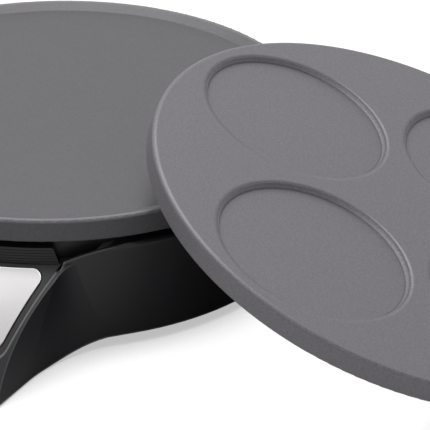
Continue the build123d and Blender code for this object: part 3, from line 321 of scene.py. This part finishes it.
def plate_coat(name, colour, rim_depth, painted_rim_highlight):
    """The coat of one plate, with a painted highlight on its top rim, and the height that its rounding
    adds.
    """
    finish = surface(
        name + "_coat", colour, 0.42, 0.0008, 0.0001, gloss=0.45, metallic=0.3, mottle=0.13, drift=0.012
    )
    tree = finish.node_tree
    along_x, along_y, along_z = on_plate(tree, name)
    rim_start = disc_radius(name) - coat_rounding
    wall_end = plate_heights[name] / 2 - coat_rounding
    outwards = computed(tree, "SUBTRACT", length_of(tree, along_x, along_y), rim_start)
    upwards = computed(tree, "SUBTRACT", along_z, wall_end)
    rim = rounded_off(tree, outwards, rim_depth)
    height = computed(tree, "ADD", rim, rounded_off(tree, upwards, rim_depth))
    soft = tree.nodes.new("ShaderNodeBump")
    soft.name = "Soft"
    soft.inputs["Strength"].default_value = 1
    soft.inputs["Distance"].default_value = coat_rounding
    tree.links.new(height, soft.inputs["Height"])
    tree.links.new(soft.outputs["Normal"], tree.nodes["Grain"].inputs["Normal"])

    # A painted highlight: the colour on the top rim is made lighter.
    edge_share = computed(tree, "DIVIDE", computed(tree, "ADD", outwards, rim_highlight_fade), rim_highlight_fade, limited=True)
    top_start = computed(tree, "SUBTRACT", upwards, coat_rounding - 1.5 * rim_highlight_fade)
    top_share = computed(tree, "DIVIDE", top_start, rim_highlight_fade, limited=True)
    rim_highlight_share = computed(tree, "MULTIPLY", computed(tree, "MULTIPLY", edge_share, top_share), painted_rim_highlight)
    scale_colour(finish, computed(tree, "ADD", rim_highlight_share, 1.0))
    return finish, height, along_x, along_y, along_z


def with_recesses(finish, height, along_x, along_y, along_z):
    """Softens the recesses' mouths and walls and paints shade into the corner at their foot."""
    tree = finish.node_tree
    on_top = computed(tree, "GREATER_THAN", along_z, recess_floor_above_middle - recess_shade_width)
    cosine = math.cos(recess_turn)
    sine = math.sin(recess_turn)
    x_from_y = computed(tree, "MULTIPLY", along_y, sine)
    y_from_x = computed(tree, "MULTIPLY", along_x, -sine)
    turned_x = computed(tree, "MULTIPLY_ADD", along_x, cosine, x_from_y)
    turned_y = computed(tree, "MULTIPLY_ADD", along_y, cosine, y_from_x)
    across = computed(tree, "ABSOLUTE", turned_x)
    beside = computed(tree, "ABSOLUTE", turned_y)
    far = computed(tree, "SUBTRACT", computed(tree, "MAXIMUM", across, beside), recess_circle)
    distance = length_of(tree, far, computed(tree, "MINIMUM", across, beside))

    inwards = computed(tree, "SUBTRACT", recess_mouth + coat_rounding, distance)
    mouth = rounded_off(tree, inwards)
    wall_place = computed(tree, "MINIMUM", distance, recess_mouth)
    wall_run = computed(tree, "SUBTRACT", recess_mouth, computed(tree, "MAXIMUM", wall_place, recess_foot))
    eased = computed(tree, "MULTIPLY", wall_run, recess_wall_ease / coat_rounding)
    hollow = computed(tree, "MULTIPLY", computed(tree, "ADD", mouth, eased), on_top)
    total = computed(tree, "ADD", height, hollow)
    tree.links.new(total, tree.nodes["Soft"].inputs["Height"])

    # A painted shade: a dark line round the recesses' foot.
    from_foot = computed(tree, "ABSOLUTE", computed(tree, "SUBTRACT", distance, recess_foot))
    shade_line = computed(tree, "SUBTRACT", 1.0, computed(tree, "DIVIDE", from_foot, recess_shade_width, limited=True))
    foot_shade_amount = computed(tree, "MULTIPLY", computed(tree, "MULTIPLY", shade_line, on_top), recess_foot_shade)
    scale_colour(finish, computed(tree, "SUBTRACT", 1.0, foot_shade_amount))


# The crepe plate has the same coat as the pancake plate, given a darker colour: painted shade.
crepe_coat_painted_darker, *_ = plate_coat("crepe_plate", (0.074, 0.071, 0.077), rim_depth=0, painted_rim_highlight=1.2)
pancake_coat, *coat_places = plate_coat("pancake_plate", (0.163, 0.156, 0.17), rim_depth=0.4, painted_rim_highlight=0)
with_recesses(pancake_coat, *coat_places)
dress(crepe_coat_painted_darker, "crepe_plate")
dress(pancake_coat, "pancake_plate")

# ------------------------------------------------------------------ table, light and camera
# A white table under one large soft lamp, in a pale room. The table's glow carries a painted shadow beside
# the things on it, in a narrow band as the camera sees it and in a wide one as it mirrors in their own
# sides.
background_white = 1.0
room_level = 0.3
table_half = 4.0
shadow_reach = 0.04
mirrored_shadow_reach = 0.2
lit_paper = (0.8, 0.8, 0.8, 1)
seen_paper = (0.12, 0.12, 0.12, 1)
white = (1, 1, 1, 1)
lamp_width = 1.6
lamp_power = 30
camera_azimuth = math.radians(22.1)
camera_elevation = math.radians(28.1135)
camera_roll = math.radians(0.46)
camera_distance = 1.5278
camera_target = Vector((-0.02396, 0.07488, 0))
camera_lens = 209.34


def seen_directly(tree):
    """1 for rays from the camera and for mirror-like and see-through rays, otherwise 0."""
    rays = tree.nodes.new("ShaderNodeLightPath").outputs
    seen_or_mirrored = computed(tree, "MAXIMUM", rays["Is Camera Ray"], rays["Is Glossy Ray"])
    return computed(tree, "MAXIMUM", seen_or_mirrored, rays["Is Transmission Ray"])


world = bpy.data.worlds.new("room")
world.use_nodes = True
bpy.context.scene.world = world
sky = world.node_tree.nodes["Background"]
level = world.node_tree.nodes.new("ShaderNodeMapRange")
level.inputs["To Min"].default_value = room_level
level.inputs["To Max"].default_value = background_white
world.node_tree.links.new(seen_directly(world.node_tree), level.inputs["Value"])
world.node_tree.links.new(level.outputs["Result"], sky.inputs["Strength"])
sky.inputs["Color"].default_value = white

table_mesh = bmesh.new()
bmesh.ops.create_grid(table_mesh, x_segments=1, y_segments=1, size=table_half)
table = bpy.data.objects.new("table", bpy.data.meshes.new("table"))
table_mesh.to_mesh(table.data)
table_mesh.free()
bpy.context.scene.collection.objects.link(table)
table_white = bpy.data.materials.new("table_white")
table_white.use_nodes = True
table_tree = table_white.node_tree
table_shader = table_tree.nodes["Principled BSDF"]
table_shader.inputs["Roughness"].default_value = 1
table_shader.inputs["Specular IOR Level"].default_value = 0
table_shader.inputs["Emission Color"].default_value = white


def shadowed_table_glow(reach, darkest, lightest, least):
    """How bright the table looks near the things on it, with a painted shadow: least at their foot, then 1.
    """
    shadow_feeler = table_tree.nodes.new("ShaderNodeAmbientOcclusion")
    shadow_feeler.samples = 8
    shadow_feeler.inputs["Distance"].default_value = reach
    shadowed_glow = table_tree.nodes.new("ShaderNodeMapRange")
    shadowed_glow.inputs["From Min"].default_value = darkest
    shadowed_glow.inputs["From Max"].default_value = lightest
    shadowed_glow.inputs["To Min"].default_value = least
    table_tree.links.new(shadow_feeler.outputs["AO"], shadowed_glow.inputs["Value"])
    return shadowed_glow.outputs["Result"]


# Painted shadow on the table: narrow for the camera, wide where the table is seen mirrored.
shadowed_glow = table_tree.nodes.new("ShaderNodeMix")
mirror_ray = table_tree.nodes.new("ShaderNodeLightPath").outputs["Is Glossy Ray"]
table_tree.links.new(mirror_ray, shadowed_glow.inputs["Factor"])
table_tree.links.new(shadowed_table_glow(shadow_reach, 0.4, 0.8, 0.5), shadowed_glow.inputs["A"])
table_tree.links.new(shadowed_table_glow(mirrored_shadow_reach, 0.4, 1.0, 0.0), shadowed_glow.inputs["B"])
table_seen = seen_directly(table_tree)
lift = computed(table_tree, "MULTIPLY", table_seen, shadowed_glow.outputs["Result"])
table_tree.links.new(lift, table_shader.inputs["Emission Strength"])
paper = table_tree.nodes.new("ShaderNodeMix")
paper.data_type = "RGBA"
paper.inputs[6].default_value = lit_paper
paper.inputs[7].default_value = seen_paper
table_tree.links.new(table_seen, paper.inputs[0])
table_tree.links.new(paper.outputs[2], table_shader.inputs["Base Color"])
table.data.materials.append(table_white)

lamp = bpy.data.objects.new("softbox", bpy.data.lights.new("softbox", "AREA"))
lamp.data.shape = "SQUARE"
lamp.data.size = lamp_width
lamp.data.energy = lamp_power
lamp.location = (-0.5, 0.4, 1.7)
lamp.rotation_euler = (Vector((0, 0, 0)) - lamp.location).to_track_quat("-Z", "Y").to_euler()
bpy.context.scene.collection.objects.link(lamp)

camera = bpy.data.objects.new("camera", bpy.data.cameras.new("camera"))
camera.data.lens = camera_lens
camera_turn = (
    Matrix.Rotation(camera_azimuth, 3, "Z")
    @ Matrix.Rotation(math.pi / 2 - camera_elevation, 3, "X")
    @ Matrix.Rotation(camera_roll, 3, "Z")
)
camera.matrix_world = Matrix.Translation(
    camera_target + camera_turn @ Vector((0, 0, camera_distance))
) @ camera_turn.to_4x4()
bpy.context.scene.collection.objects.link(camera)
bpy.context.scene.camera = camera
bpy.context.scene.view_settings.view_transform = "Standard"
